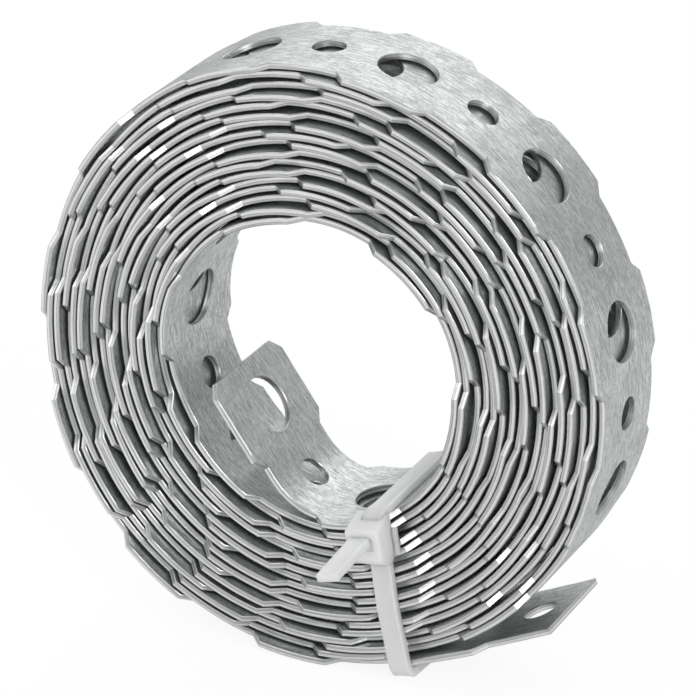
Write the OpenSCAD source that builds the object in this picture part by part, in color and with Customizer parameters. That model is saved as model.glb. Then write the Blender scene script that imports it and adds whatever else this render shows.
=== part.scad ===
// A tied coil of perforated, wave-edged galvanised fixing strap.
// The coil's axis is level and it stands on its rim. Its front end, where the tie's head is, faces -Y.
// The origin is on the floor, below the middle of the whole object's box. Units are millimetres.

/* [Strap] */
// Width across a pair of lobes
lobe_w = 17; // [16:0.5:20]
// Width at the waists between the lobes
waist_w = 14; // [13:0.5:15]
// Thickness of the steel
strap_t = 0.8; // [0.6:0.1:0.9]
// Length of one wave, from a lobe's middle to the next, rounded so that whole waves fit between the tips
wave_len = 20.3; // [19:0.1:24]
// Length of a lobe's straight edge
lobe_len = 8.8; // [6:0.1:10]
// Diameter of the large hole in each lobe
large_hole_d = 7.2; // [5:0.1:8]
// Diameter of the small hole in each waist
small_hole_d = 4; // [3:0.1:5]

/* [Coil] */
// Number of whole turns wound on each other
turns = 17; // [14:1:17]
// Diameter of the coil where its outer end leaves it
coil_d = 75.5; // [75:0.1:84]
// Diameter of the eye where the inner end leaves it
eye_d = 37.2; // [36:0.1:38]
// How much taller than wide the outermost turn stands
tallness = 1.4; // [0:0.1:2]
// Depth of the gaps between the turns below a waist's edge
gap_depth = 1.5; // [0.5:0.1:2]

/* [Free ends] */
// Angle round the coil at which the outer end leaves it, anticlockwise from the right
outer_leave = 291; // [285:1:300]
// Length of the outer end that stands clear
outer_len = 18.4; // [18:0.1:18.8]
// Distance from the outer end's tip to the middle of its large hole
outer_first_lobe = 14.6; // [14.2:0.1:14.6]
// Bend radius of the inner end, at the middle of the strap's thickness
inner_bend_r = 6.1; // [5:0.1:7]
// Angle that the inner end is bent through
inner_bend = 56; // [50:1:60]
// Length of the inner end's flat part
inner_len = 14.1; // [13:0.1:14.5]
// Distance from the inner end's tip to the middle of its large hole
inner_first_lobe = 6; // [5.9:0.1:6.2]

/* [Cable tie] */
// Width of the tie's band
tie_w = 2.6; // [2.4:0.1:3.4]
// Thickness of the tie's band
tie_t = 1.1; // [0.9:0.1:1.3]
// Direction in which the band runs over the front, as an angle round the coil
tie_angle = 280.4; // [275:0.1:284]
// How far the band's plane lies beside the coil's axis
tie_offset = 5.6; // [4:0.1:7]
// Width of the tie's head
head_w = 4.5; // [4:0.1:6]
// Height of the head, along the band
head_h = 5.1; // [4.6:0.1:6]
// Thickness of the head, off the coil's front
head_t = 3.9; // [3.4:0.1:4.5]
// Length of the cut-off stub in front of the head
stub_len = 7.6; // [3:0.1:9]

/* [Hidden] */

steel = [0.72, 0.74, 0.75];
nylon = [0.93, 0.94, 0.93];
eps = 0.5; // how far a cutter runs past what it cuts
clear = 0.2; // the same for the outer turn's holes, which stay clear of the outer end
sink = 0.12; // the free ends start this much nearer the axis than the turns they run into
join = 0.3; // and this far inside those turns
narrow = 0.05; // and they are this much narrower at each edge
round_fn = 180; // sides of the coil's circles
hole_fn = 40; // sides of the holes and small bends

lobe_h = lobe_w / 2;
waist_h = waist_w / 2;
slope = lobe_h - waist_h; // the waves' edges slope at 45 degrees
end_lobe_h = lobe_h - narrow;
end_waist_h = waist_h - narrow;
core_h = waist_h - gap_depth;

// The strap is wound as a spiral of quarter arcs that run on into each other, each with its own
// radius and middle. Arc 0 starts where the outer end leaves and the last ends at the inner end.
// The spiral is drawn turned by 45 degrees, so that its arcs join on the axes.
turned = 45;
inner_leave = 270;
last_arc = 4 * turns;
start_r = (coil_d - strap_t) / 2;
end_r = (eye_d + strap_t) / 2;
turn_step = (start_r - end_r) / (turns + (outer_leave - inner_leave) / 360);
function whole_microns(x) = round(1000 * x) / 1000; // so that neighbouring arcs meet exactly
swell = whole_microns(tallness / 2 / (sqrt(2) - 1)); // the side arcs are this much larger, the others smaller
function way(a) = [cos(a), sin(a)];
function arc_r(k) = whole_microns(
    start_r - k * turn_step / 4 + (k % 2 == 0 ? -1 : 1) * swell * (1 - k / last_arc));
first_from = outer_leave + turned;
last_to = inner_leave + turned - 360 * turns;
function arc_from(k) = k == 0 ? first_from : 360 - 90 * k;
function arc_to(k) = k == last_arc ? last_to : 270 - 90 * k;
function arc_len(k) = arc_r(k) * (arc_from(k) - arc_to(k)) * PI / 180;
function degrees(arc, r) = arc / r * 180 / PI;
function next_middle(middle, k) = middle + (arc_r(k - 1) - arc_r(k)) * way(arc_from(k));
middles = [for (k = 0, m = [swell, -swell]; k <= last_arc; k = k + 1, m = next_middle(m, k)) m];

// Lengths along the strap from its outer tip: where each arc starts, and where the whole ends
starts = [for (k = 0, s = outer_len; k <= last_arc + 1; s = s + arc_len(k), k = k + 1) s];
wound_end = starts[last_arc + 1];
strap_len = wound_end + inner_bend_r * inner_bend * PI / 180 + inner_len;
pattern_len = strap_len - outer_first_lobe - inner_first_lobe;
waves = round(pattern_len / wave_len);
wave = pattern_len / waves;
waist_len = wave - lobe_len - 2 * slope;
notch_half = waist_len / 2 + slope;
function lobe_at(i) = outer_first_lobe + i * wave;
function waist_at(i) = outer_first_lobe + (i + 0.5) * wave;
function arc_of(s) = max([for (k = [0:last_arc]) starts[k] <= s ? k : 0]);

// Where the outermost turn goes under the outer end, and where the innermost comes out from under the bend
rim_end = starts[4] + arc_r(4) * (arc_from(4) - first_from + 360) * PI / 180;
eye_start = starts[last_arc - 3] - arc_r(last_arc - 4) * (last_to + 360 - arc_to(last_arc - 4)) * PI / 180;
hole_margin = 1; // steel left between a hole and either of those places
bend_room = 3.2; // and near the bend, where the hole's cutter would meet it
function within(places, from, to) = [for (s = places) if (s > from && s < to) s];
lobes = [for (i = [0:waves]) lobe_at(i)];
waists = [for (i = [0:waves - 1]) waist_at(i)];
hole_depth = turn_step; // in the outermost and innermost turns, down to the next turn

// Moves what it holds to a place on the wound strap: +X points outwards from the middle of the steel
module on_strap(s) {
    k = arc_of(s);
    translate(middles[k])
        rotate([0, 0, arc_from(k) - degrees(s - starts[k], arc_r(k))])
            translate([arc_r(k), 0, 0])
                children();
}

// Arc k's part of a ring round its middle, drawn from an end where it joins another arc
module sector(k, inner, outer, half_height) {
    extent = arc_from(k) - arc_to(k);
    last = k == last_arc;
    translate(middles[k])
        rotate([0, 0, last ? arc_from(k) : arc_to(k)])
            rotate_extrude(angle = last ? -extent : extent, $fn = round_fn)
                translate([inner, -half_height])
                    square([outer - inner, 2 * half_height]);
}

// One cut of a waist into both edges of the strap
module waist_notch(r) {
    half = waist_len / 2;
    top = slope + eps;
    sag = r - sqrt(pow(r, 2) - pow(half + top, 2));
    for (side = [0, 1])
        mirror([0, 0, side])
            translate([-strap_t / 2 - sag - eps, 0, waist_h])
                rotate([90, 0, 90])
                    linear_extrude(strap_t + sag + 2 * eps)
                        polygon([[-half, 0], [half, 0], [half + top, top], [-half - top, top]]);
}

// One quarter arc of strap: a thin ring as wide as the lobes, with its waists cut in
module arc(k) {
    r = arc_r(k);
    difference() {
        sector(k, r - strap_t / 2, r + strap_t / 2, lobe_h);
        for (s = within(waists, starts[k] - notch_half, starts[k + 1] + notch_half))
            on_strap(s) waist_notch(r);
    }
}

// What joins the turns inside the coil, kept back from their edges so that each turn shows
module wound_core() {
    middle_r = (start_r + end_r) / 2;
    overlap = 3; // the outer and the inner part of it run this far past the middle
    for (k = [0:4])
        sector(k, middle_r - overlap, arc_r(k), core_h);
    for (k = [last_arc - 4:last_arc - 1])
        sector(k, arc_r(k), middle_r + overlap, core_h);
}

// Both edges of a flat end, from one edge's points
module flat_end(edge) {
    linear_extrude(strap_t)
        polygon(concat(edge, [for (i = [len(edge) - 1:-1:0]) [edge[i][0], -edge[i][1]]]));
}

// The frame of the outer end: its tip at the origin and its length along +X, its outer face up
module at_outer_end() {
    translate(middles[0])
        rotate([0, 0, first_from])
            translate([arc_r(0) - strap_t / 2 - sink, outer_len, 0])
                rotate([90, 0, 90])
                    mirror([1, 0, 0])
                        children();
}

// The flat outer end: half a waist to the tip, then a lobe back to the coil
module outer_end() {
    tip_cut = 0.6;
    waist_end = outer_first_lobe - lobe_len / 2 - slope;
    at_outer_end()
        flat_end([[0, end_waist_h - tip_cut], [tip_cut, end_waist_h], [waist_end, end_waist_h],
                  [waist_end + slope, end_lobe_h], [outer_len + join, end_lobe_h]]);
}

// The frame of the inner end's flat part: its bend's axis at the origin, its length along +Y
module at_inner_end() {
    translate(middles[last_arc] + (arc_r(last_arc) - sink - inner_bend_r) * way(last_to))
        rotate([0, 0, last_to - inner_bend])
            children();
}

// The inner end: a bend at waist width, then a flat part that ends in a lobe
module inner_end() {
    lobe_end = inner_first_lobe + lobe_len / 2;
    lobe_start = inner_first_lobe - lobe_len / 2;
    at_inner_end() {
        rotate_extrude(angle = inner_bend + degrees(join, inner_bend_r), $fn = round_fn)
            translate([inner_bend_r - strap_t / 2, -end_waist_h])
                square([strap_t, 2 * end_waist_h]);
        translate([inner_bend_r - strap_t / 2, -inner_len, 0])
            rotate([90, 0, 90])
                flat_end([[0, end_lobe_h - lobe_start], [lobe_start, end_lobe_h], [lobe_end, end_lobe_h],
                          [lobe_end + slope, end_waist_h], [inner_len, end_waist_h]]);
    }
}

// A cutter for a hole: a cylinder along +X from x = from to x = to
module radial_hole(d, from, to) {
    translate([from, 0, 0])
        rotate([0, 90, 0])
            cylinder(h = to - from, d = d, $fn = hole_fn);
}

// Holes of the outermost turn, open outwards
module rim_holes(places, d) {
    for (s = within(places, outer_len + d / 2 + hole_margin, rim_end - d / 2 - hole_margin))
        on_strap(s) radial_hole(d, strap_t / 2 - hole_depth, strap_t / 2 + clear);
}

// Holes of the innermost turn, open into the eye
module eye_holes(places, d) {
    for (s = within(places, eye_start + d / 2 + bend_room, wound_end - d / 2 - hole_margin))
        on_strap(s) radial_hole(d, -strap_t / 2 - eps, hole_depth - strap_t / 2);
}

// Small hole near the outer tip, and the large hole behind it
module outer_end_holes() {
    at_outer_end()
        for (hole = [[outer_first_lobe - wave / 2, small_hole_d], [outer_first_lobe, large_hole_d]])
            translate([hole[0], 0, -clear])
                cylinder(h = strap_t + clear + eps, d = hole[1], $fn = hole_fn);
}

// Large hole in the inner end's flat part and small hole in its bend
module inner_end_holes() {
    from = inner_bend_r - strap_t - eps;
    to = inner_bend_r + strap_t + eps;
    at_inner_end() {
        translate([0, inner_first_lobe - inner_len, 0]) radial_hole(large_hole_d, from, to);
        rotate([0, 0, degrees(inner_first_lobe + wave / 2 - inner_len, inner_bend_r)])
            radial_hole(small_hole_d, from, to);
    }
}

// A rectangle with round corners, made of true arcs
module round_rect(w, h, r) {
    translate([r, 0]) square([w - 2 * r, h]);
    translate([0, r]) square([w, h - 2 * r]);
    for (x = [r, w - r], y = [r, h - r])
        translate([x, y]) circle(r, $fn = hole_fn);
}

// The tie lies in a plane of its own: +X runs out from the coil's axis and +Y across the tie's band
tie_gap = 0.08; // clear space between the tie and the steel
tie_far = tie_offset + tie_w / 2;
tie_near = tie_offset - tie_w / 2;
tie_way = tie_angle + turned;
function reach(k, r, y) = middles[k] * way(tie_way)
    + sqrt(pow(r, 2) - pow(y - middles[k] * way(tie_way + 90), 2));
rim_x = reach(0, arc_r(0) + strap_t / 2, tie_near) + tie_gap;
wall_x = reach(last_arc, arc_r(last_arc) - strap_t / 2, tie_far) - tie_gap;
loop_h = lobe_h + tie_gap;

// The loop: down the front, round the rim, up the back and through the eye
module tie_loop() {
    inner_corner = 0.5;
    translate([0, tie_far, 0])
        rotate([90, 0, 0])
            linear_extrude(tie_w)
                difference() {
                    translate([wall_x - tie_t, -loop_h - tie_t])
                        round_rect(rim_x - wall_x + 2 * tie_t, 2 * (loop_h + tie_t), inner_corner + tie_t);
                    translate([wall_x, -loop_h])
                        round_rect(rim_x - wall_x, 2 * loop_h, inner_corner);
                }
}

// The ratchet head: cut corners all round, and a top that slopes down to the front
head_rise = 0.1; // how far the head's top stands above the band in the eye
head_aside = 0.55; // how far its middle lies beside the band's
head_x = wall_x - tie_t - head_rise;
head_y = tie_offset - head_aside;
module tie_head() {
    cut = 0.9; // cut of the corners seen from the front
    fall = 1.1; // how much the top falls to the front
    chamfer = 0.4; // along the front's other edges
    translate([head_x, head_y - head_w / 2, loop_h])
        intersection() {
            linear_extrude(head_t)
                polygon([[0, 0], [head_h - cut, 0], [head_h, cut], [head_h, head_w - cut],
                         [head_h - cut, head_w], [0, head_w]]);
            translate([0, head_w + eps, 0])
                rotate([90, 0, 0])
                    linear_extrude(head_w + 2 * eps)
                        polygon([[0, 0], [head_h, 0], [head_h, head_t - chamfer], [head_h - chamfer, head_t],
                                 [fall, head_t]]);
        }
}

// The band's cut end, standing out of the head's slot and drooping a little
stub_down = 2.2; // how far its upper face lies below the head's top, where it starts
stub_aside = 0.2; // how far its middle lies beside the head's
stub_root = 1.5; // how far it starts inside the head
stub_x = head_x + stub_down;
stub_y = head_y - stub_aside;
stub_z = loop_h + head_t - stub_root;
stub_all = stub_root + stub_len;
stub_droop = 10; // degrees
stub_lean = 7; // degrees
module tie_stub() {
    cut_slant = 0.5;
    translate([stub_x, stub_y, stub_z])
        rotate([stub_lean, stub_droop, 0])
            translate([0, tie_w / 2, 0])
                rotate([90, 0, 0])
                    linear_extrude(tie_w)
                        polygon([[0, 0], [tie_t, 0], [tie_t, stub_all - cut_slant], [0, stub_all]]);
}

// From the coil's own frame, with its axis along +Z and its front up, to the standing pose
front_reach = stub_z + (stub_all * cos(stub_lean) + tie_w / 2 * sin(stub_lean)) * cos(stub_droop);
back_reach = loop_h + tie_t;
function far_out(k, a) = middles[k] * way(a + turned) + arc_r(k) + strap_t / 2;
right_reach = far_out(3, 0);
left_reach = far_out(1, 180);
low_reach = far_out(0, 270);
module stand() {
    translate([(left_reach - right_reach) / 2, (front_reach - back_reach) / 2, low_reach])
        rotate([90, 0, 0])
            children();
}

module strap() {
    color(steel)
        stand()
            rotate([0, 0, -turned])
                difference() {
                    union() {
                        wound_core();
                        for (k = [0:last_arc]) arc(k);
                        outer_end();
                        inner_end();
                    }
                    rim_holes(lobes, large_hole_d);
                    rim_holes(waists, small_hole_d);
                    eye_holes(lobes, large_hole_d);
                    eye_holes(waists, small_hole_d);
                    outer_end_holes();
                    inner_end_holes();
                }
}

module cable_tie() {
    color(nylon)
        stand()
            rotate([0, 0, tie_angle]) {
                tie_loop();
                tie_head();
                tie_stub();
            }
}

strap();
cable_tie();
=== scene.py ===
"""A coil of perforated fixing band: the wavy, punched, galvanised strap and the cable tie that holds it.

The band is punched flat, as a row of equal waves, and then rolled up along a path. Lengths are metres.
"""
import math

import bmesh
import bpy
import numpy as np
from bpy.props import FloatProperty, FloatVectorProperty, IntProperty, PointerProperty
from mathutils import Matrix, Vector


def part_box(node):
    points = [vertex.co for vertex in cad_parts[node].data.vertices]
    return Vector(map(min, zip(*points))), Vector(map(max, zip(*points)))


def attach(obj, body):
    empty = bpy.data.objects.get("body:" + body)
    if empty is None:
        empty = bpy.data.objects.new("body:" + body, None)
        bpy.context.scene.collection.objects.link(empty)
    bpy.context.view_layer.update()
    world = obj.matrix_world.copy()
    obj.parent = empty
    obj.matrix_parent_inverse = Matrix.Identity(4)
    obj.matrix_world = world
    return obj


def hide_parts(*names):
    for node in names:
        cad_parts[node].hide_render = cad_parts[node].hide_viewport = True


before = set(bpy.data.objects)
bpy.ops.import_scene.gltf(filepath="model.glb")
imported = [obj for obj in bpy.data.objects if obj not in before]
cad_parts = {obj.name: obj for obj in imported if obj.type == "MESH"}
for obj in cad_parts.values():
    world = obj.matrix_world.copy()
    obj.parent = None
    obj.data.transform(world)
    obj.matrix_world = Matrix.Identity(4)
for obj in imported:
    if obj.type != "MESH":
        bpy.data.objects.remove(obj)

bl_info = {
    "name": "Perforated fixing band",
    "version": (1, 0, 0),
    "blender": (4, 5, 0),
    "location": "View3D > Sidebar > Fixing band",
    "description": "Builds a tied coil of wavy perforated strap around its packed model",
    "category": "Object",
}

MM = 0.001
PATH_STEP = 0.25 * MM  # between the points of a path's straights and bends
TURN_POINTS = 720  # points that each turn of the coil is drawn with
WELD = 0.01 * MM  # points nearer to each other than this are one point
TOUCH = 0.001 * MM  # points nearer to a cut than this lie on it
SHARP = math.radians(32)  # an edge that turns by more than this stays sharp


def length(name, mm, description):
    """A size that is written in millimetres and kept in metres."""
    return FloatProperty(name=name, default=mm * MM, unit="LENGTH", precision=5, description=description)


def turn(name, degrees, description):
    """An angle that is written in degrees and kept in radians."""
    return FloatProperty(name=name, default=math.radians(degrees), subtype="ANGLE", description=description)


def colour(name, rgb, description):
    """A linear colour."""
    return FloatVectorProperty(name=name, default=rgb, size=3, subtype="COLOR", min=0, max=1,
                               description=description)


def number(name, default, description):
    """A plain number or share."""
    return FloatProperty(name=name, default=default, description=description)


class BandSettings(bpy.types.PropertyGroup):
    """The flat band, before it is rolled up"""
    lobe_width: length("Lobe width", 17.0, "Width across a pair of lobes")
    waist_width: length("Waist width", 14.0, "Width between the lobes")
    thickness: length("Thickness", 0.8, "Thickness of the steel")
    wave: length("Wave length", 20.292, "From one large hole to the next")
    lobe_length: length("Lobe length", 8.8, "Straight edge of a lobe")
    large_hole: length("Large hole", 7.2, "Diameter of the hole in each lobe")
    small_hole: length("Small hole", 4.0, "Diameter of the hole in each waist")
    sheared_corner: length("Sheared corner", 0.09, "Width of the worn corner along every cut edge")
    outer_first: length("Outer margin", 14.6, "From the outer tip to the first large hole")
    inner_last: length("Inner margin", 5.95, "From the last large hole to the inner tip")
    waves: IntProperty(name="Waves", default=149, min=1,
                       description="Waves between the first and last large hole")
    zinc: colour("Zinc", (0.645, 0.675, 0.672), "Colour of the galvanised face")
    cut_zinc: colour("Cut edge", (0.78, 0.80, 0.785), "Colour of the sheared edges")


class CoilSettings(bpy.types.PropertyGroup):
    """How the band lies in the coil"""
    turns: number("Turns", 17.04, "Turns between the two free ends")
    start_radius: length("Start radius", 37.37, "Middle of the steel where the outer end leaves the coil")
    step: length("Turn step", 1.077, "How much each turn is smaller than the one around it")
    leave_angle: turn("Leaving angle", 290.0, "Where the outer end leaves, anticlockwise from the right")
    middle_right: length("Centre", 0.43, "How far the coil's middle lies to the right of the whole object's")
    middle_height: length("Centre height", 38.45, "Height of the coil's middle above the floor")
    outer_free: length("Outer end", 19.0, "Length of the outer end that stands clear")
    outer_bend: length("Outer end's bend", 218.0, "Radius that the outer end keeps")
    inner_bend: length("Inner end's bend", 8.7, "Radius of the bend at the inner end")
    inner_turn: turn("Inner end's turn", 59.3, "Angle of that bend")
    inner_flat: length("Inner end", 13.5, "Flat length of the inner end")
    looseness: length("Looseness", 0.1, "How unevenly the turns lie on each other")
    settled: number("Settled", 0.5, "Turns at each end of the winding over which that unevenness fades")
    creep: length("Creep", 0.36, "How far the waves run ahead of an even winding near the outer end")
    creep_skew: number("Creep's skew", 0.7, "How much more they do so a quarter of a turn from it")
    lag: length("Lag", 1.6, "How far the waves fall behind an even winding, halfway along the band")


class TieSettings(bpy.types.PropertyGroup):
    """The cable tie, in its own plane: p runs out from the coil's axis and q lies across the tie"""
    width: length("Band width", 2.6, "Width of the tie's band")
    thickness: length("Band thickness", 1.05, "Thickness of the tie's band")
    rail: length("Side rail", 0.35, "Width of the raised rail along each edge")
    rail_height: length("Rail height", 0.09, "How far the rails stand above the outer face")
    rib_pitch: length("Rib pitch", 0.8, "From one cross rib of the band to the next")
    rib_height: length("Rib height", 0.05, "How far the cross ribs stand above the outer face")
    cut_slant: number("Cut's slant", 0.25, "How far out of square the band is cut off, as a slope")
    plane_angle: turn("Plane", 280.4, "Direction in which the tie crosses the coil's front")
    clear: length("Clearance", 0.05, "Room between the tie and the coil's front, back and rim")
    eye_clear: length("Clearance in the eye", 0.1, "Room between the tie and the eye's wall")
    beside: length("Beside", 5.9, "How far the band lies beside the coil's axis in the eye")
    neck_beside: length("Neck beside", 5.4, "The same at both ends of the band's run down the front")
    bow: length("Bow", 0.3, "How far the band bows towards the axis halfway down the front")
    root_beside: length("Root beside", 4.8, "The same where the cut-off end leaves the head")
    tip_beside: length("Tip beside", 4.0, "The same at the cut end")
    start: length("Start", 20.6, "Where the band starts inside the head, out from the coil's axis")
    corner: length("Corner", 1.3, "Radius of the band where it goes round the coil's edges")
    shift_run: length("Shift's run", 6.0, "Length over which the band shifts sideways, or leans over")
    lean: turn("Lean", 7.5, "How far the band leans over to the eye's wall")
    lean_run: length("Lean's run", 2.0, "Length on each side of the dive's start where it straightens up")
    dive: turn("Dive", 38.0, "Angle at which the band dives from the eye into the head")
    dive_bend: length("Dive's bends", 1.0, "Length of each bend of that dive")
    dive_run: length("Dive's run", 2.55, "Straight length between those bends")
    dive_ahead: length("Ahead of the dive", 0.5, "How far ahead of the dive the band starts to shift back")
    droop: turn("Droop", 9.0, "Angle at which the cut-off end hangs")
    stub: length("Stub", 7.9, "Length of the cut-off end in front of the head")
    head_width: length("Head width", 4.5, "Width of the head")
    head_height: length("Head height", 5.1, "Height of the head, along the band")
    head_depth: length("Head thickness", 3.9, "How far the head stands off the coil's front")
    head_top: length("Head top", 16.9, "Where the head starts, out from the coil's axis")
    head_middle: length("Head middle", 5.05, "How far the head's middle lies beside the coil's axis")
    head_slope: length("Head's slope", 1.1, "How far the head's top slopes down to its front")
    head_round: length("Head's edges", 0.42, "Width of the head's rounded edges")
    neck_length: length("Neck", 1.6, "Length over which the head narrows to the band")
    neck_middle: length("Neck's middle", 5.45, "How far the neck's middle lies beside the coil's axis")
    neck_proud: length("Proud neck", 0.02, "How far the neck stands proud of the band on each side")
    slot_top: length("Slot top", 19.0, "Where the slot in the head starts, out from the coil's axis")
    slot_height: length("Slot height", 1.6, "Height of the slot")
    slot_width: length("Slot width", 3.1, "Width of the slot")
    slot_depth: length("Slot depth", 0.7, "Depth of the slot")
    slot_middle: length("Slot middle", 4.8, "How far the slot's middle lies beside the coil's axis")
    flange_length: length("Flange length", 3.2, "Length of the thin flange at the head's right side")
    flange_width: length("Flange width", 1.2, "Width of the flange, half of it inside the head")
    flange_thickness: length("Flange thickness", 0.6, "Thickness of the flange")
    flange_middle: length("Flange middle", 20.7, "How far out from the coil's axis its middle lies")
    nylon: colour("Nylon", (0.93, 0.95, 0.945), "Colour of the natural nylon")


class StageSettings(bpy.types.PropertyGroup):
    """Floor, light and camera"""
    azimuth: turn("Azimuth", 25.88, "Camera's angle round the coil from its front")
    elevation: turn("Elevation", 24.36, "Camera's angle above the horizon")
    distance: length("Distance", 477.6, "Camera's distance from the coil's middle")
    lens: number("Lens", 208.47, "Focal length for a 36 mm wide sensor")
    aim_right: length("Aim right", 0.57, "How far the aim lies to the right of the coil's middle")
    aim_up: length("Aim up", 0.06, "How far the aim lies above the coil's middle")
    floor: colour("Floor", (0.90, 0.90, 0.90), "Colour of the floor")
    floor_white: number("White floor", 0.85, "Share of plain white that the camera sees in the floor")
    floor_level: number("Floor's level", 1.05, "Level of that white")
    sky: number("Sky", 0.53, "Level of the even light from all round")


# ---- The path that the band is rolled along, seen from the coil's front: x to the right and z up ----


# How far the outermost and the innermost turn stand off a circle, in millimetres, as slow swings: how many of
# them go round the coil, and how strong each is to the right and upwards. The outer one stands a little tall.
OUTER_SHAPE = ((2, -0.70, 0.22), (3, 0.24, -0.13))
EYE_SHAPE = ((0, -0.31, 0.0), (1, -0.36, -0.24), (2, -0.20, -0.29), (3, -0.16, 0.19))

# The swings of the gaps between the turns: how many of them go round the coil, how far each turn shifts them,
# where they start, and how strong each is
GAP_SWINGS = ((3, 1.9, 0.0, 0.6), (5, 2.6, 1.0, 0.5), (7, -1.4, 2.0, 0.35))


def out_of_round(shape, angle):
    """How far a turn of this shape stands off its circle."""
    return MM * sum(right * np.cos(n * angle) + up * np.sin(n * angle) for n, right, up in shape)


def unevenness(turns, angle):
    """How the gaps between the turns open and close, as a share of the coil's looseness."""
    return sum(strength * np.sin(n * angle + shift * turns + start)
               for n, shift, start, strength in GAP_SWINGS)


def heading_run(start, heading, bends):
    """Points from start on: bends is a list of (length, turn of the heading), each run in short steps."""
    points = [np.array(start)]
    for run, turned in bends:
        steps = max(2, int(run / PATH_STEP))
        for _ in range(steps):
            heading += 0.5 * turned / steps
            points.append(points[-1] + run / steps * np.array([math.cos(heading), math.sin(heading)]))
            heading += 0.5 * turned / steps
    return np.array(points)


def coil_path(coil):
    """The middle of the steel, from the outer tip through the coil to the inner tip."""
    turns = np.linspace(0.0, coil.turns, int(coil.turns * TURN_POINTS))
    angle = coil.leave_angle - 2 * math.pi * turns
    inward = turns / coil.turns
    loose = np.clip(turns / coil.settled, 0, 1) * np.clip((coil.turns - turns) / coil.settled, 0, 1)
    radius = (coil.start_radius - coil.step * turns + (1 - inward) * out_of_round(OUTER_SHAPE, angle)
              + inward * out_of_round(EYE_SHAPE, angle) + loose * coil.looseness * unevenness(turns, angle))
    wound = np.stack([radius * np.cos(angle), radius * np.sin(angle)], 1)

    def heading(step):
        return math.atan2(step[1], step[0])

    back = heading(wound[0] - wound[1])
    outer = heading_run(wound[0], back, [(coil.outer_free, coil.outer_free / coil.outer_bend)])
    on = heading(wound[-1] - wound[-2])
    inner = heading_run(wound[-1], on, [(coil.inner_bend * coil.inner_turn, -coil.inner_turn),
                                        (coil.inner_flat, 0.0)])
    return np.concatenate([outer[:0:-1], wound, inner[1:]])


class Path:
    """A flat path with its length measured, that a flat piece can be rolled along."""

    def __init__(self, points):
        self.points = points
        steps = np.linalg.norm(np.diff(points, axis=0), axis=1)
        self.at = np.concatenate([[0.0], np.cumsum(steps)])
        tangent = np.gradient(points, axis=0)
        tangent /= np.linalg.norm(tangent, axis=1)[:, None]
        self.side = np.stack([-tangent[:, 1], tangent[:, 0]], 1)
        self.angle = np.unwrap(np.arctan2(points[:, 1], points[:, 0]))

    @property
    def length(self):
        return self.at[-1]

    def place(self, along, off):
        """Points at distances along the path, and off it to the left of its run."""
        middle = [np.interp(along, self.at, self.points[:, i]) for i in (0, 1)]
        side = [np.interp(along, self.at, self.side[:, i]) for i in (0, 1)]
        return middle[0] + side[0] * off, middle[1] + side[1] * off


# ---- The flat band ----

# How far the square of faces that a hole is drawn in reaches from the hole's middle
LARGE_SQUARE = 4.6 * MM
SMALL_SQUARE = 3 * MM


def step_list(start, end, steps):
    """Even steps from start to end, both of them included."""
    return [start + (end - start) * i / steps for i in range(steps + 1)]


def round_angle(across, up):
    """The angle on a circle for a point on the square around it, so that even steps stay even."""
    if abs(across) >= abs(up):
        return (0 if across > 0 else math.pi) + up / across * math.pi / 4
    return (math.pi / 2 if up > 0 else -math.pi / 2) - across / up * math.pi / 4


def punch(bm, centre, hole, half, half_row):
    """Swaps the square of faces round a place on the middle line for faces that end in a round hole."""
    square = [f for f in bm.faces if abs(f.calc_center_median().x - centre) < half
              and abs(f.calc_center_median().y) < half_row]
    bmesh.ops.delete(bm, geom=square, context="FACES")
    rim = [e for e in bm.edges if e.is_boundary and all(
        abs(v.co.x - centre) < half + WELD and abs(v.co.y) < half_row + WELD for v in e.verts)]
    drawn = bmesh.ops.extrude_edge_only(bm, edges=rim)
    for v in (g for g in drawn["geom"] if isinstance(g, bmesh.types.BMVert)):
        angle = round_angle((v.co.x - centre) / half, v.co.y / half_row)
        v.co = (centre + hole / 2 * math.cos(angle), hole / 2 * math.sin(angle), 0)


def flat_wave(bm, band):
    """One wave of thin sheet with its two holes, from the end of one waist to the end of the next."""
    slope = (band.lobe_width - band.waist_width) / 2
    lobe = band.lobe_length / 2
    waist = band.wave - band.lobe_length - 2 * slope
    small = band.wave / 2
    columns = [-lobe - slope, *step_list(-lobe, lobe, 8), lobe + slope,
               *step_list(small - SMALL_SQUARE, small + SMALL_SQUARE, 6), small + waist / 2]
    inner_rows = step_list(-LARGE_SQUARE, LARGE_SQUARE, 8)
    bmesh.ops.create_grid(bm, x_segments=len(columns) - 1, y_segments=len(inner_rows) + 1, size=1)
    for v in bm.verts:
        column = columns[round((v.co.x + 1) / 2 * (len(columns) - 1))]
        row = round((v.co.y + 1) / 2 * (len(inner_rows) + 1))
        edge = (band.lobe_width if abs(column) < lobe + slope / 2 else band.waist_width) / 2
        rows = [-edge, *inner_rows, edge]
        v.co = (column, rows[row], 0)
    punch(bm, 0.0, band.large_hole, lobe, LARGE_SQUARE)
    punch(bm, small, band.small_hole, SMALL_SQUARE, inner_rows[-2])


def thicken(bm, thickness):
    """The sheet as a solid, with its middle plane at z = 0."""
    bmesh.ops.recalc_face_normals(bm, faces=bm.faces)
    top = bmesh.ops.extrude_face_region(bm, geom=bm.faces[:], use_keep_orig=True)
    raised = [g for g in top["geom"] if isinstance(g, bmesh.types.BMVert)]
    bmesh.ops.translate(bm, verts=raised, vec=(0, 0, thickness))
    bmesh.ops.translate(bm, verts=bm.verts, vec=(0, 0, -thickness / 2))
    bmesh.ops.recalc_face_normals(bm, faces=bm.faces)


def upright(face):
    """Whether a face of the flat band is one of its cut edges."""
    return abs(face.normal.z) < 0.9


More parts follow.
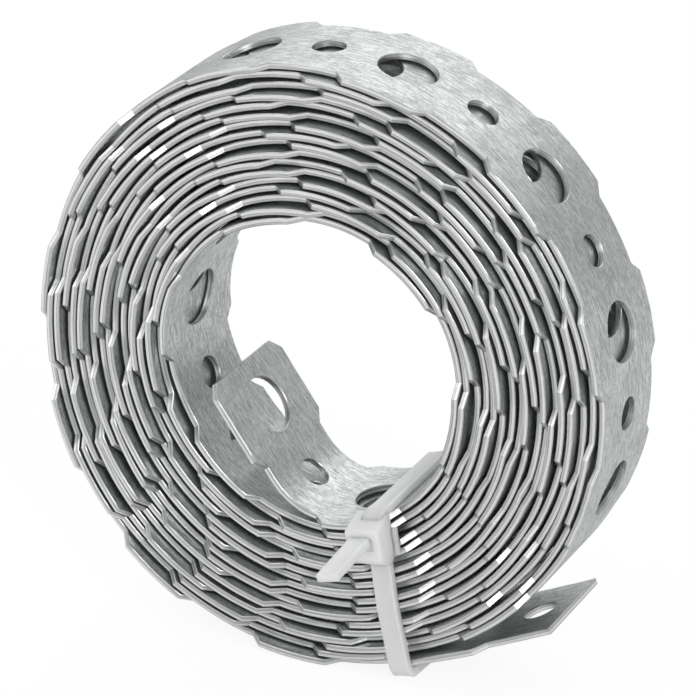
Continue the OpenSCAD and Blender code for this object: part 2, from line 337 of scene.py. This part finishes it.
def open_ends(bm):
    """Takes the faces off both ends, so that the next one can be joined on."""
    low, high = min(v.co.x for v in bm.verts), max(v.co.x for v in bm.verts)
    ends = [f for f in bm.faces if all(abs(v.co.x - low) < WELD for v in f.verts)
            or all(abs(v.co.x - high) < WELD for v in f.verts)]
    bmesh.ops.delete(bm, geom=ends, context="FACES")


def repeat(bm, pitch, more):
    """Repeats what is there along x, so many more times, and joins it up."""
    bmesh.ops.spin(bm, geom=bm.verts[:] + bm.edges[:] + bm.faces[:], cent=(0, 0, 0), axis=(0, 0, 1), angle=0,
                   dvec=(pitch, 0, 0), steps=more, use_duplicate=True)
    bmesh.ops.remove_doubles(bm, verts=[v for v in bm.verts if v.is_boundary], dist=WELD)


def cut_off(bm, at, way, slant=0.0):
    """Cuts off what lies beyond a place along x, on the side that way points to, and closes the end."""
    cut = bmesh.ops.bisect_plane(bm, geom=bm.verts[:] + bm.edges[:] + bm.faces[:], dist=TOUCH,
                                 plane_co=(at, 0, 0), plane_no=(way, slant, 0), clear_outer=True)
    bmesh.ops.holes_fill(bm, edges=[e for e in cut["geom_cut"] if isinstance(e, bmesh.types.BMEdge)], sides=0)


def punched_band(band):
    """The whole flat band as one closed solid, with its outer tip at x = 0, and its length."""
    bm = bmesh.new()
    flat_wave(bm, band)
    thicken(bm, band.thickness)
    open_ends(bm)
    corners = [e for e in bm.edges if len(e.link_faces) == 2
               and upright(e.link_faces[0]) != upright(e.link_faces[1])]
    bmesh.ops.bevel(bm, geom=corners, offset=band.sheared_corner, offset_type="OFFSET", segments=1,
                    profile=0.5, affect="EDGES", material=-1, clamp_overlap=True)
    repeat(bm, band.wave, band.waves + 1)
    bmesh.ops.translate(bm, verts=bm.verts, vec=(band.outer_first - band.wave, 0, 0))
    band_length = band.outer_first + band.waves * band.wave + band.inner_last
    cut_off(bm, 0.0, -1)
    cut_off(bm, band_length, 1)
    bmesh.ops.recalc_face_normals(bm, faces=bm.faces)
    return bm, band_length


def lay_out_uv(bm):
    """The flat pattern as UV, in metres: along the band, then across its face or through its cut edge."""
    uv = bm.loops.layers.uv.new("band")
    for f in bm.faces:
        f.smooth = True
        f.material_index = 1 if upright(f) else 0
        for loop in f.loops:
            co = loop.vert.co
            loop[uv].uv = (co.x, co.z if f.material_index else co.y)


def finished(bm, name, materials, body="root"):
    """The mesh object of a piece, riding on its body."""
    mesh = bpy.data.meshes.new(name)
    bm.to_mesh(mesh)
    bm.free()
    piece = bpy.data.objects.new(name, mesh)
    bpy.context.scene.collection.objects.link(piece)
    for material in materials:
        mesh.materials.append(material)
    mesh.set_sharp_from_angle(angle=SHARP)
    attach(piece, body)
    return piece


def middle(coil):
    """The coil's middle, in the frame."""
    low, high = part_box("strap")
    return Vector((coil.middle_right, (low.y + high.y) / 2, coil.middle_height))


def move_vertices(mesh, change):
    """Gives a mesh the places that change works out from its present ones."""
    flat = np.empty(len(mesh.vertices) * 3)
    mesh.vertices.foreach_get("co", flat)
    mesh.vertices.foreach_set("co", change(flat.reshape(-1, 3)).ravel())
    mesh.update()


# The turns' slow sway across the coil: how far, over what length, and where it starts
SWAYS = ((0.12 * MM, 31 * MM, 0.0), (0.1 * MM, 13.7 * MM, 1.3))


def rolled(flat, band_length, path, coil, centre):
    """The flat band's points, rolled up: x runs along the path, y across the coil and z out of it."""
    share = flat[:, 0] / band_length
    wound = np.clip(share * path.length, coil.outer_free, path.length - coil.inner_flat)
    turned = coil.leave_angle - np.interp(wound, path.at, path.angle)
    creep = (1 - share) * coil.creep * (1 - np.cos(turned) + coil.creep_skew * np.sin(turned))
    along = share * path.length + creep - coil.lag * np.sin(math.pi * share) ** 2
    sway = sum(far * np.sin(along / run + start) for far, run, start in SWAYS)
    x, z = path.place(along, flat[:, 2])
    return np.stack([x + centre[0], flat[:, 1] + sway + centre[1], z + centre[2]], 1)


# ---- The cable tie ----


# Along one rib's length of the tie's band: places, and how high the rib is there, as shares
RIB = ((0.0, 0.0), (0.55, 1.0), (0.85, 0.0), (1.0, 0.0))


def tie_rib(bm, tie):
    """One rib's length of the tie's band: two raised rails and a low cross rib above, smooth below."""
    half, t = tie.width / 2, tie.thickness
    across = (-half, -half + tie.rail / 2, -half + tie.rail, half - tie.rail, half - tie.rail / 2, half)
    bmesh.ops.create_grid(bm, x_segments=len(RIB) - 1, y_segments=len(across) - 1, size=1)
    above = {}
    for v in bm.verts:
        along, rib = RIB[round((v.co.x + 1) / 2 * (len(RIB) - 1))]
        row = round((v.co.y + 1) / 2 * (len(across) - 1))
        v.co = (along * tie.rib_pitch, across[row], 0)
        from_edge = min(row, len(across) - 1 - row)
        above[v] = t / 2 + (-tie.rail_height, tie.rail_height, rib * tie.rib_height)[from_edge]
    lower = bmesh.ops.extrude_face_region(bm, geom=bm.faces[:], use_keep_orig=True)
    for v in (g for g in lower["geom"] if isinstance(g, bmesh.types.BMVert)):
        at_edge = abs(v.co.y) > half - tie.rail / 4
        v.co.z = -t / 2 + (tie.rail_height if at_edge else 0)
    for v, z in above.items():
        v.co.z = z
    bmesh.ops.recalc_face_normals(bm, faces=bm.faces)


def tie_strip(tie, strip_length):
    """The tie's band laid out flat, with x along it from inside the head to the cut end."""
    bm = bmesh.new()
    tie_rib(bm, tie)
    open_ends(bm)
    repeat(bm, tie.rib_pitch, math.ceil(strip_length / tie.rib_pitch))
    cut_off(bm, TOUCH, -1)
    cut_off(bm, strip_length, 1, tie.cut_slant)
    bmesh.ops.recalc_face_normals(bm, faces=bm.faces)
    return bm


def steel_reach(tie, points, thickness):
    """How near to the coil's axis the leaning band meets steel in the eye, and how far out at the rim."""
    c, s = math.cos(tie.plane_angle), math.sin(tie.plane_angle)
    p, q = points @ (c, s), points @ (-s, c)
    near = (np.abs(q - tie.beside) < tie.width / 2) & (p > 0)
    met = p[near] + math.tan(tie.lean) * (q[near] - tie.beside)
    return met.min() - thickness / 2, p[near].max() + thickness / 2


def tie_path(tie, rim, bore, half_width):
    """The tie's middle line, as (p, y): down the front, round the rim, up the back and through the bore."""
    front = half_width + tie.clear + tie.thickness / 2
    rim_p, bore_p = rim + tie.thickness / 2 + tie.clear, bore - tie.thickness / 2 - tie.eye_clear
    quarter = (tie.corner * math.pi / 2, math.pi / 2)
    runs = [
        (rim_p - tie.corner - tie.start, 0.0), quarter,
        (2 * (front - tie.corner), 0.0), quarter,
        (rim_p - bore_p - 2 * tie.corner, 0.0), quarter,
        (front - tie.corner + half_width, 0.0), (tie.dive_bend, tie.dive), (tie.dive_run, 0.0),
        (tie.dive_bend, tie.droop - tie.dive), (tie.stub, 0.0),
    ]
    return heading_run((tie.start, -front), 0.0, runs)


def dive_start(tie, path):
    """Where along its path the tie's band dives out of the eye."""
    return path.length - tie.stub - 2 * tie.dive_bend - tie.dive_run


def tie_sideways(tie, path):
    """Where the tie's middle lies beside the coil's axis, for each point of its path."""
    rim = path.points[:, 0].max() - tie.start
    places = (
        (0.0, tie.neck_beside),
        (rim / 2, tie.neck_beside - tie.bow),
        (rim, tie.neck_beside),
        (rim + tie.shift_run, tie.beside),
        (dive_start(tie, path) - tie.dive_ahead, tie.beside),
        (path.length - tie.stub, tie.root_beside),
        (path.length, tie.tip_beside),
    )
    return np.interp(path.at, *zip(*places))


def tie_twist(tie, path):
    """How far the tie's band leans over across itself: only in the eye, towards the wall it lies on."""
    back = path.at[np.argmax(path.points[:, 1])]
    dive = dive_start(tie, path)
    return np.interp(path.at, (back, back + tie.shift_run, dive - tie.lean_run, dive + tie.lean_run),
                     (0.0, tie.lean, tie.lean, 0.0))


def tie_to_frame(tie, centre, p, y, q):
    """From the tie's own plane to the frame."""
    c, s = math.cos(tie.plane_angle), math.sin(tie.plane_angle)
    return np.stack([c * p - s * q + centre[0], y + centre[1], s * p + c * q + centre[2]], 1)


def draw_neck(bm, tie, front):
    """Draws the head's foot down to the size of the band."""
    foot = max(bm.faces, key=lambda f: f.calc_center_median().x)
    drawn = bmesh.ops.extrude_face_region(bm, geom=[foot])
    bmesh.ops.delete(bm, geom=[foot], context="FACES_ONLY")
    for v in (g for g in drawn["geom"] if isinstance(g, bmesh.types.BMVert)):
        v.co.x += tie.neck_length
        v.co.z = tie.neck_middle + (tie.width / 2 + tie.neck_proud) * (1 if v.co.z > tie.head_middle else -1)
        if v.co.y < -front - tie.head_depth / 2:
            v.co.y = -front - tie.thickness - 2 * tie.neck_proud


def sink_slot(bm, tie):
    """Sinks the slot that the cut-off end comes out of into the head's front."""
    face = min((f for f in bm.faces if abs(f.normal.y) > 0.99), key=lambda f: f.calc_center_median().y)
    bmesh.ops.inset_individual(bm, faces=[face], thickness=tie.head_round, use_even_offset=True)
    middle = face.calc_center_median()
    for v in face.verts:
        v.co.x = tie.slot_top + (0 if v.co.x < middle.x else tie.slot_height)
        v.co.z = tie.slot_middle + tie.slot_width / 2 * (1 if v.co.z > middle.z else -1)
    sunk = bmesh.ops.extrude_face_region(bm, geom=[face])
    bmesh.ops.delete(bm, geom=[face], context="FACES_ONLY")
    bmesh.ops.translate(bm, verts=[g for g in sunk["geom"] if isinstance(g, bmesh.types.BMVert)],
                        vec=(0, tie.slot_depth, 0))


def tie_head(tie, front):
    """The ratchet head, made as (p, y, q): a block with a sloping top, a neck, a slot and a thin flange."""
    bm = bmesh.new()
    bmesh.ops.create_cube(bm, size=1)
    centre = Vector((tie.head_top + tie.head_height / 2, -front - tie.head_depth / 2, tie.head_middle))
    bmesh.ops.scale(bm, verts=bm.verts, vec=(tie.head_height, tie.head_depth, tie.head_width))
    bmesh.ops.translate(bm, verts=bm.verts, vec=centre)
    for v in bm.verts:
        if v.co.y < centre.y and v.co.x < centre.x:
            v.co.x += tie.head_slope
    draw_neck(bm, tie, front)
    bmesh.ops.recalc_face_normals(bm, faces=bm.faces)
    bmesh.ops.bevel(bm, geom=bm.edges[:], offset=tie.head_round, offset_type="OFFSET", segments=3,
                    profile=0.5, affect="EDGES", material=-1, clamp_overlap=True)
    sink_slot(bm, tie)
    flange = bmesh.ops.create_cube(bm, size=1)["verts"]
    bmesh.ops.scale(bm, verts=flange, vec=(tie.flange_length, tie.flange_thickness, tie.flange_width))
    bmesh.ops.translate(bm, verts=flange, vec=(tie.flange_middle, -front - tie.flange_thickness / 2,
                                               tie.head_middle + tie.head_width / 2))
    bmesh.ops.recalc_face_normals(bm, faces=bm.faces)
    return bm


def face_outwards(mesh):
    """Turns every closed shell's faces outwards, as a change of frame can mirror it."""
    bm = bmesh.new()
    bm.from_mesh(mesh)
    bmesh.ops.recalc_face_normals(bm, faces=bm.faces)
    for f in bm.faces:
        f.smooth = True
    bm.to_mesh(mesh)
    bm.free()
    mesh.set_sharp_from_angle(angle=SHARP)


# ---- Materials ----


def socket(group, way, name, default=None):
    """A number that goes into a node group or comes out of it."""
    made = group.interface.new_socket(name=name, in_out=way, socket_type="NodeSocketFloat")
    if default is not None:
        made.default_value = default


def maths(tree, operation, *values, clamp=False):
    """One step of maths on numbers and other nodes' outputs."""
    node = tree.nodes.new("ShaderNodeMath")
    node.operation, node.use_clamp = operation, clamp
    for way_in, value in zip(node.inputs, values):
        if isinstance(value, (int, float)):
            way_in.default_value = value
        else:
            tree.links.new(value, way_in)
    return node.outputs[0]


def spread(tree, value, low, high, to_low=0.0, to_high=1.0):
    """A value's range from low to high, spread from to_low to to_high."""
    node = tree.nodes.new("ShaderNodeMapRange")
    for name, limit in (("From Min", low), ("From Max", high), ("To Min", to_low), ("To Max", to_high)):
        node.inputs[name].default_value = limit
    tree.links.new(value, node.inputs["Value"])
    return node.outputs[0]


def noise(tree, vector, scale, detail):
    """A cloudy tone between 0 and 1."""
    node = tree.nodes.new("ShaderNodeTexNoise")
    node.inputs["Scale"].default_value = scale
    node.inputs["Detail"].default_value = detail
    tree.links.new(vector, node.inputs["Vector"])
    return node.outputs["Fac"]


def band_place(tree):
    """The place on the flat band: along it, and across its face or through its cut edge."""
    node = tree.nodes.new("ShaderNodeUVMap")
    node.uv_map = "band"
    return node.outputs["UV"]


def stretched(tree, vector, scale, slant=0.0, start=0.0):
    """Places stretched for a pattern that has a direction."""
    node = tree.nodes.new("ShaderNodeMapping")
    node.inputs["Rotation"].default_value = (0, 0, slant)
    node.inputs["Scale"].default_value = (*scale, 1)
    node.inputs["Location"].default_value = (start, start, 0)
    tree.links.new(vector, node.inputs["Vector"])
    return node.outputs["Vector"]


def hairlines(tree):
    """Light and dark hairline scratches that cross in three directions, as a tone on both sides of 0."""
    flat = band_place(tree)
    total = 0.0
    for slant, start in ((0.5, 0.0), (-0.8, 5.0), (1.35, 9.0)):
        hair = noise(tree, stretched(tree, flat, (420, 5200), slant, start), 1.0, 2)
        total = maths(tree, "ADD", total, spread(tree, hair, 0.60, 0.70))
        total = maths(tree, "SUBTRACT", total, spread(tree, hair, 0.41, 0.32))
    return total


def zinc_grain_group():
    """Fine crystals and hairline scratches of hot-dip zinc: a tone from 0 to 1, a roughness and a height."""
    group = bpy.data.node_groups.new("zinc grain", "ShaderNodeTree")
    for name, default in (("Grain size", 0.4 * MM), ("Scratches", 0.5), ("Roughness", 0.4), ("Spread", 0.12)):
        socket(group, "INPUT", name, default)
    for name in ("Tone", "Roughness", "Height"):
        socket(group, "OUTPUT", name)
    nodes, link = group.nodes, group.links.new
    inputs, outputs = nodes.new("NodeGroupInput").outputs, nodes.new("NodeGroupOutput").inputs
    where = nodes.new("ShaderNodeTexCoord").outputs["Object"]
    crystals = nodes.new("ShaderNodeTexVoronoi")
    crystals.feature = "F1"
    link(where, crystals.inputs["Vector"])
    link(maths(group, "DIVIDE", 1.0, inputs["Grain size"]), crystals.inputs["Scale"])
    crystal = nodes.new("ShaderNodeSeparateColor")
    link(crystals.outputs["Color"], crystal.inputs[0])
    cloud = maths(group, "SUBTRACT", noise(group, where, 160, 5), 0.5)
    scratches = maths(group, "MULTIPLY", hairlines(group), inputs["Scratches"])
    tone = maths(group, "MULTIPLY", crystal.outputs[0], 0.3)
    tone = maths(group, "MULTIPLY_ADD", noise(group, where, 2600, 3), 0.65, tone)
    tone = maths(group, "MULTIPLY_ADD", cloud, 0.7, tone)
    tone = maths(group, "MULTIPLY_ADD", scratches, 0.75, tone, clamp=True)
    shine = maths(group, "MULTIPLY", maths(group, "SUBTRACT", tone, 0.5), inputs["Spread"])
    link(tone, outputs["Tone"])
    link(maths(group, "SUBTRACT", inputs["Roughness"], shine, clamp=True), outputs["Roughness"])
    link(tone, outputs["Height"])
    return group


# Through a cut edge, from its rolled-over side to its torn one: place and tone. The black stop at 0.55 is a
# painted dark line of shade, and the bright band from 0.62 to 0.95 is partly burnish and partly a painted
# highlight
SHEARED_TONES_WITH_PAINTED_LIGHT = ((0.08, 0.15), (0.2, 0.45), (0.50, 0.5), (0.55, 0.0), (0.62, 0.85), (0.95, 1.0), (1.0, 0.4))


def sheared_bands_with_painted_light_group(thickness):
    """The bands that shearing leaves through a cut edge, as a tone: rolled over, burnished and torn, with a
    painted line of shade and a painted highlight on the burnished band.
    """
    group = bpy.data.node_groups.new("sheared bands with painted light", "ShaderNodeTree")
    socket(group, "OUTPUT", "Tone")
    nodes, link = group.nodes, group.links.new
    flat = band_place(group)
    apart = nodes.new("ShaderNodeSeparateXYZ")
    link(flat, apart.inputs[0])
    through = spread(group, apart.outputs["Y"], -thickness / 2, thickness / 2)
    wander = noise(group, stretched(group, flat, (420, 1)), 1.0, 2)
    # The ramp's tones hold a painted dark line of shade and a painted highlight besides the shearing bands
    bands_with_painted_light = nodes.new("ShaderNodeValToRGB")
    stops = bands_with_painted_light.color_ramp.elements
    for i, (at, tone) in enumerate(SHEARED_TONES_WITH_PAINTED_LIGHT):
        stop = stops[i] if i < 2 else stops.new(at)
        stop.position, stop.color = at, (tone, tone, tone, 1)
    link(maths(group, "MULTIPLY_ADD", wander, 0.24, through), bands_with_painted_light.inputs["Fac"])
    lines = spread(group, noise(group, stretched(group, flat, (150, 15000)), 1.0, 2), 0.3, 0.7, -0.3, 0.3)
    tone = maths(group, "ADD", bands_with_painted_light.outputs["Color"], lines, clamp=True)
    link(tone, nodes.new("NodeGroupOutput").inputs["Tone"])
    return group


def tint(tree, tone, dark, light):
    """Colours the shader between two tones."""
    mix = tree.nodes.new("ShaderNodeMix")
    mix.data_type = "RGBA"
    mix.inputs["A"].default_value = (*dark, 1)
    mix.inputs["B"].default_value = (*light, 1)
    tree.links.new(tone, mix.inputs["Factor"])
    tree.links.new(mix.outputs["Result"], tree.nodes["Principled BSDF"].inputs["Base Color"])


def relief(tree, height, strength, distance):
    """Raises the shader's surface by a height map."""
    bump = tree.nodes.new("ShaderNodeBump")
    bump.inputs["Strength"].default_value = strength
    bump.inputs["Distance"].default_value = distance
    tree.links.new(height, bump.inputs["Height"])
    tree.links.new(bump.outputs["Normal"], tree.nodes["Principled BSDF"].inputs["Normal"])


def zinc_material(name, group, dark, light, grain, bump, bands_with_painted_light=None):
    """Zinc whose colour runs between two tones with its grain and, on a cut edge, with its bands, which carry
    painted shade and a painted highlight.
    """
    material = bpy.data.materials.new(name)
    material.use_nodes = True
    tree = material.node_tree
    shader = tree.nodes["Principled BSDF"]
    shader.inputs["Metallic"].default_value = 1.0
    grains = tree.nodes.new("ShaderNodeGroup")
    grains.node_tree = group
    for socket_name, value in grain.items():
        grains.inputs[socket_name].default_value = value
    tone = grains.outputs["Tone"]
    if bands_with_painted_light:
        sheared = tree.nodes.new("ShaderNodeGroup")
        sheared.node_tree = bands_with_painted_light
        both = tree.nodes.new("ShaderNodeMix")
        both.inputs["Factor"].default_value = 0.85
        tree.links.new(tone, both.inputs["A"])
        tree.links.new(sheared.outputs["Tone"], both.inputs["B"])
        tone = both.outputs["Result"]
    tint(tree, tone, dark, light)
    tree.links.new(grains.outputs["Roughness"], shader.inputs["Roughness"])
    relief(tree, grains.outputs["Height"], bump, 0.02 * MM)
    return material


def shade(rgb, by):
    """A colour made darker or lighter."""
    return tuple(min(1.0, c * by) for c in rgb)


def nylon_material(tie):
    """Natural nylon: milky, a little cloudy and half glossy."""
    material = bpy.data.materials.new("natural nylon")
    material.use_nodes = True
    tree = material.node_tree
    shader = tree.nodes["Principled BSDF"]
    shader.inputs["Roughness"].default_value = 0.38
    shader.inputs["Subsurface Weight"].default_value = 0.85
    shader.inputs["Subsurface Radius"].default_value = (1.0, 1.0, 1.0)
    shader.inputs["Subsurface Scale"].default_value = 3.2 * MM
    cloud = noise(tree, tree.nodes.new("ShaderNodeTexCoord").outputs["Object"], 500, 4)
    tint(tree, cloud, shade(tie.nylon, 0.96), shade(tie.nylon, 1.04))
    relief(tree, cloud, 0.25, 0.05 * MM)
    return material


# ---- Operators ----


class OBJECT_OT_roll_band(bpy.types.Operator):
    """Punch the flat band, roll it up and finish it in zinc"""
    bl_idname = "object.roll_band"
    bl_label = "Roll band"

    def execute(self, context):
        band, coil = context.scene.fixing_band, context.scene.band_coil
        bm, band_length = punched_band(band)
        lay_out_uv(bm)
        grain = zinc_grain_group()
        face = zinc_material(
            "galvanised face", grain, shade(band.zinc, 0.62), shade(band.zinc, 1.22),
            {"Grain size": 0.35 * MM, "Scratches": 0.8, "Roughness": 0.42, "Spread": 0.2}, bump=0.5)
        # The sheared edge's colour carries painted shade and a painted highlight from its bands through the
        # thickness
        edge = zinc_material(
            "sheared edge", grain, shade(band.cut_zinc, 0.32), shade(band.cut_zinc, 1.28),
            {"Grain size": 0.2 * MM, "Scratches": 0.2, "Roughness": 0.36, "Spread": 0.12}, bump=0.4,
            bands_with_painted_light=sheared_bands_with_painted_light_group(band.thickness))
        piece = finished(bm, "rolled_strap", [face, edge])
        path = Path(coil_path(coil))
        move_vertices(piece.data, lambda flat: rolled(flat, band_length, path, coil, middle(coil)))
        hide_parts("strap")
        return {"FINISHED"}


class OBJECT_OT_tie_coil(bpy.types.Operator):
    """Mould the cable tie and put it round the coil"""
    bl_idname = "object.tie_coil"
    bl_label = "Tie coil"

    def execute(self, context):
        band, coil, tie = context.scene.fixing_band, context.scene.band_coil, context.scene.band_tie
        centre = middle(coil)
        half = band.lobe_width / 2
        bore, rim = steel_reach(tie, coil_path(coil), band.thickness)
        path = Path(tie_path(tie, rim, bore, half))
        sideways, twist = tie_sideways(tie, path), tie_twist(tie, path)
        nylon = nylon_material(tie)

        def wrap(co):
            along, across, up = co.T
            lean = np.interp(along, path.at, twist)
            p, y = path.place(along, -up * np.cos(lean) - across * np.sin(lean))
            q = np.interp(along, path.at, sideways) + across * np.cos(lean) - up * np.sin(lean)
            return tie_to_frame(tie, centre, p, y, q)

        strip = finished(tie_strip(tie, path.length), "cable_tie_band", [nylon])
        move_vertices(strip.data, wrap)
        head = finished(tie_head(tie, half + tie.clear), "cable_tie_head", [nylon])
        move_vertices(head.data, lambda co: tie_to_frame(tie, centre, *co.T))
        for piece in (strip, head):
            face_outwards(piece.data)
            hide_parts("cable_tie")
        return {"FINISHED"}


# The square lamps: name, place, side and power, in metres and watts
LAMPS = (
    ("key", (0.72, -0.66, 0.62), 0.45, 3.2),
    ("fill", (-0.6, -0.5, 0.85), 0.9, 2.6),
    ("back", (-0.25, 1.5, 1.1), 1.9, 9.6),
)


class SCENE_OT_set_stage(bpy.types.Operator):
    """Lay the floor, hang the lights and place the camera"""
    bl_idname = "scene.set_stage"
    bl_label = "Set stage"

    def execute(self, context):
        stage, coil = context.scene.band_stage, context.scene.band_coil
        centre = middle(coil)
        bm = bmesh.new()
        bmesh.ops.create_grid(bm, x_segments=1, y_segments=1, size=3)
        mesh = bpy.data.meshes.new("floor")
        bm.to_mesh(mesh)
        bm.free()
        floor = bpy.data.objects.new("floor", mesh)
        context.scene.collection.objects.link(floor)
        mesh.materials.append(self.floor_material(stage))
        self.light_world(context.scene, stage.sky)
        for name, at, side, power in LAMPS:
            self.softbox(context.scene, name, Vector(at), side, power, centre)
        self.camera(context.scene, stage, centre)
        context.scene.view_settings.view_transform = "Standard"
        return {"FINISHED"}

    def floor_material(self, stage):
        """A pale floor that the camera sees as nearly white, with the coil's shadow on it."""
        material = bpy.data.materials.new("pale floor")
        material.use_nodes = True
        tree = material.node_tree
        nodes, link = tree.nodes, tree.links.new
        shader = nodes["Principled BSDF"]
        shader.inputs["Base Color"].default_value = (*stage.floor, 1)
        shader.inputs["Roughness"].default_value = 0.9
        seen = nodes.new("ShaderNodeLightPath").outputs["Is Camera Ray"]
        white = nodes.new("ShaderNodeEmission")
        white.inputs["Strength"].default_value = stage.floor_level
        mixed = nodes.new("ShaderNodeMixShader")
        link(maths(tree, "MULTIPLY", seen, stage.floor_white), mixed.inputs[0])
        link(shader.outputs[0], mixed.inputs[1])
        link(white.outputs[0], mixed.inputs[2])
        link(mixed.outputs[0], nodes["Material Output"].inputs["Surface"])
        return material

    def light_world(self, scene, level):
        """Even white light from all round."""
        world = bpy.data.worlds.new("studio")
        scene.world = world
        world.use_nodes = True
        background = world.node_tree.nodes["Background"]
        background.inputs["Color"].default_value = (1, 1, 1, 1)
        background.inputs["Strength"].default_value = level

    def softbox(self, scene, name, at, side, power, aim):
        """A square lamp that points at the aim."""
        data = bpy.data.lights.new(name, "AREA")
        data.size, data.energy = side, power
        light = bpy.data.objects.new(name, data)
        light.location = at
        light.rotation_euler = (aim - at).to_track_quat("-Z", "Y").to_euler()
        scene.collection.objects.link(light)

    def camera(self, scene, stage, centre):
        """The camera, turned round the coil's middle and aimed a little beside it."""
        a, e = stage.azimuth, stage.elevation
        back = Vector((math.sin(a) * math.cos(e), -math.cos(a) * math.cos(e), math.sin(e)))
        right = Vector((math.cos(a), math.sin(a), 0))
        up = back.cross(right)
        data = bpy.data.cameras.new("camera")
        data.lens, data.sensor_width = stage.lens, 36
        data.clip_start, data.clip_end = 0.01, 10
        camera = bpy.data.objects.new("camera", data)
        camera.location = centre + back * stage.distance + right * stage.aim_right + up * stage.aim_up
        camera.rotation_euler = (-back).to_track_quat("-Z", "Y").to_euler()
        scene.collection.objects.link(camera)
        scene.camera = camera


class VIEW3D_PT_fixing_band(bpy.types.Panel):
    """Sizes and steps of the coil of fixing band"""
    bl_label = "Fixing band"
    bl_space_type = "VIEW_3D"
    bl_region_type = "UI"
    bl_category = "Fixing band"

    def draw(self, context):
        for group in GROUPS:
            box = self.layout.box()
            settings = getattr(context.scene, group)
            for name in settings.__annotations__:
                box.prop(settings, name)
        for step in STEPS:
            self.layout.operator(step.bl_idname)


GROUPS = {
    "fixing_band": BandSettings,
    "band_coil": CoilSettings,
    "band_tie": TieSettings,
    "band_stage": StageSettings,
}
STEPS = (OBJECT_OT_roll_band, OBJECT_OT_tie_coil, SCENE_OT_set_stage)
CLASSES = (*GROUPS.values(), *STEPS, VIEW3D_PT_fixing_band)


def register():
    for cls in CLASSES:
        bpy.utils.register_class(cls)
    for name, group in GROUPS.items():
        setattr(bpy.types.Scene, name, PointerProperty(type=group))


def unregister():
    for name in GROUPS:
        delattr(bpy.types.Scene, name)
    for cls in reversed(CLASSES):
        bpy.utils.unregister_class(cls)


def main():
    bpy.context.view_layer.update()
    register()
    bpy.ops.object.roll_band()
    bpy.ops.object.tie_coil()
    bpy.ops.scene.set_stage()


if __name__ == "__main__":
    main()
